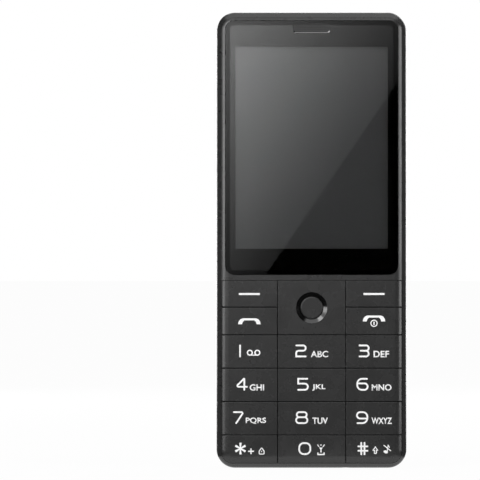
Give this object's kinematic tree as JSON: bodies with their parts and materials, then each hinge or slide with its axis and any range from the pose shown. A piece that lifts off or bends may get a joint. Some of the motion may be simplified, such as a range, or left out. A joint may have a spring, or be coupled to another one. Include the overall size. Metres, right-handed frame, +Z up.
{
  "type": "feature phone",
  "caption": "Slab mobile phone with a portrait display, a numeric keypad with a rocking pad, and a lift-off back with a camera and torch island.",
  "frame": {"origin": "middle of the bottom end, midway between the front face and the back", "axes": "+X to the right as the display is read, +Y from the front face to the back, +Z up along the length, from the keypad to the display"},
  "size_m": [0.0536, 0.012, 0.1286],
  "materials": {
    "housing_plastic": "fine matt moulding",
    "cover_plastic": "fine matt moulding",
    "chassis_plastic": "moulded",
    "key_plastic": "matt lacquer",
    "window_glass": "polished, dark printed border",
    "display_glass": "dark, switched off",
    "dark_glass": "polished",
    "bright_ring": "bright plated",
    "torch_plastic": "clear, yellow phosphor behind",
    "white_plastic": "moulded",
    "black_plastic": "moulded",
    "silicone": "satin",
    "foam_adhesive": "matt foam",
    "flex_film": "satin film",
    "stamped_steel": "stamped",
    "steel_mesh": "blackened",
    "screw_steel": "blackened",
    "gilded_brass": "gilded",
    "board_laminate": "solder mask",
    "battery_wrap": "film wrap"
  },
  "bodies": {
    "root": {"front_housing": "housing_plastic", "rear_chassis": "chassis_plastic", "display_window": "window_glass", "display_gasket": "foam_adhesive", "earpiece_mesh": "steel_mesh", "speaker_mesh": "steel_mesh", "earpiece_receiver": "black_plastic", "loudspeaker": "black_plastic", "lcd_panel": "display_glass", "backlight_unit": "white_plastic", "lcd_frame": "stamped_steel", "display_flex": "flex_film", "keypad_mat": "silicone", "key_domes": "stamped_steel", "main_board": "board_laminate", "headphone_socket": "black_plastic", "usb_socket": "stamped_steel", "radio_shield": "stamped_steel", "processor_shield": "stamped_steel", "vibration_motor": "stamped_steel", "microphone": "stamped_steel", "antenna": "gilded_brass", "housing_screws": "screw_steel", "battery": "battery_wrap", "battery_contacts": "black_plastic", "sim_socket_left": "stamped_steel", "sim_socket_right": "stamped_steel", "memory_card_socket": "stamped_steel", "camera_bezel": "bright_ring", "camera_window": "dark_glass", "camera_lens": "dark_glass", "camera_module": "black_plastic", "torch_led": "white_plastic", "torch_lens": "torch_plastic"},
    "key_soft_left": {"key_soft_left": "key_plastic"},
    "key_soft_right": {"key_soft_right": "key_plastic"},
    "key_call": {"key_call": "key_plastic"},
    "key_end": {"key_end": "key_plastic"},
    "key_1": {"key_1": "key_plastic"},
    "key_2": {"key_2": "key_plastic"},
    "key_3": {"key_3": "key_plastic"},
    "key_4": {"key_4": "key_plastic"},
    "key_5": {"key_5": "key_plastic"},
    "key_6": {"key_6": "key_plastic"},
    "key_7": {"key_7": "key_plastic"},
    "key_8": {"key_8": "key_plastic"},
    "key_9": {"key_9": "key_plastic"},
    "key_star": {"key_star": "key_plastic"},
    "key_0": {"key_0": "key_plastic"},
    "key_hash": {"key_hash": "key_plastic"},
    "nav_rocker_ring": {"nav_rocker_ring": "silicone"},
    "nav_pad": {"nav_pad": "key_plastic"},
    "nav_center_button": {"nav_center_button": "key_plastic"},
    "rear_cover": {"rear_cover": "cover_plastic"}
  },
  "joints": [
    {"name": "key_soft_left_press", "type": "slide", "parent": "root", "child": "key_soft_left", "axis": [0, 1, 0], "range_m": [0, 0.00035], "stiffness_N_per_m": 4000},
    {"name": "key_soft_right_press", "type": "slide", "parent": "root", "child": "key_soft_right", "axis": [0, 1, 0], "range_m": [0, 0.00035], "stiffness_N_per_m": 4000},
    {"name": "key_call_press", "type": "slide", "parent": "root", "child": "key_call", "axis": [0, 1, 0], "range_m": [0, 0.00035], "stiffness_N_per_m": 4000},
    {"name": "key_end_press", "type": "slide", "parent": "root", "child": "key_end", "axis": [0, 1, 0], "range_m": [0, 0.00035], "stiffness_N_per_m": 4000},
    {"name": "key_1_press", "type": "slide", "parent": "root", "child": "key_1", "axis": [0, 1, 0], "range_m": [0, 0.00035], "stiffness_N_per_m": 4000},
    {"name": "key_2_press", "type": "slide", "parent": "root", "child": "key_2", "axis": [0, 1, 0], "range_m": [0, 0.00035], "stiffness_N_per_m": 4000},
    {"name": "key_3_press", "type": "slide", "parent": "root", "child": "key_3", "axis": [0, 1, 0], "range_m": [0, 0.00035], "stiffness_N_per_m": 4000},
    {"name": "key_4_press", "type": "slide", "parent": "root", "child": "key_4", "axis": [0, 1, 0], "range_m": [0, 0.00035], "stiffness_N_per_m": 4000},
    {"name": "key_5_press", "type": "slide", "parent": "root", "child": "key_5", "axis": [0, 1, 0], "range_m": [0, 0.00035], "stiffness_N_per_m": 4000},
    {"name": "key_6_press", "type": "slide", "parent": "root", "child": "key_6", "axis": [0, 1, 0], "range_m": [0, 0.00035], "stiffness_N_per_m": 4000},
    {"name": "key_7_press", "type": "slide", "parent": "root", "child": "key_7", "axis": [0, 1, 0], "range_m": [0, 0.00035], "stiffness_N_per_m": 4000},
    {"name": "key_8_press", "type": "slide", "parent": "root", "child": "key_8", "axis": [0, 1, 0], "range_m": [0, 0.00035], "stiffness_N_per_m": 4000},
    {"name": "key_9_press", "type": "slide", "parent": "root", "child": "key_9", "axis": [0, 1, 0], "range_m": [0, 0.00035], "stiffness_N_per_m": 4000},
    {"name": "key_star_press", "type": "slide", "parent": "root", "child": "key_star", "axis": [0, 1, 0], "range_m": [0, 0.00035], "stiffness_N_per_m": 4000},
    {"name": "key_0_press", "type": "slide", "parent": "root", "child": "key_0", "axis": [0, 1, 0], "range_m": [0, 0.00035], "stiffness_N_per_m": 4000},
    {"name": "key_hash_press", "type": "slide", "parent": "root", "child": "key_hash", "axis": [0, 1, 0], "range_m": [0, 0.00035], "stiffness_N_per_m": 4000},
    {"name": "nav_rock_up_down", "type": "hinge", "parent": "root", "child": "nav_rocker_ring", "pos_m": [0, -0.00383, 0.04525], "axis": [1, 0, 0], "range_deg": [-1.5, 1.5], "stiffness_Nm_per_rad": 0.4},
    {"name": "nav_rock_left_right", "type": "hinge", "parent": "nav_rocker_ring", "child": "nav_pad", "pos_m": [0, -0.00457, 0.04525], "axis": [0, 0, 1], "range_deg": [-1.5, 1.5], "stiffness_Nm_per_rad": 0.4},
    {"name": "nav_center_press", "type": "slide", "parent": "nav_pad", "child": "nav_center_button", "axis": [0, 1, 0], "range_m": [0, 0.00035], "stiffness_N_per_m": 4000},
    {"name": "rear_cover_lift", "type": "slide", "parent": "root", "child": "rear_cover", "axis": [0, 1, 0], "range_m": [0, 0.02]}
  ]
}
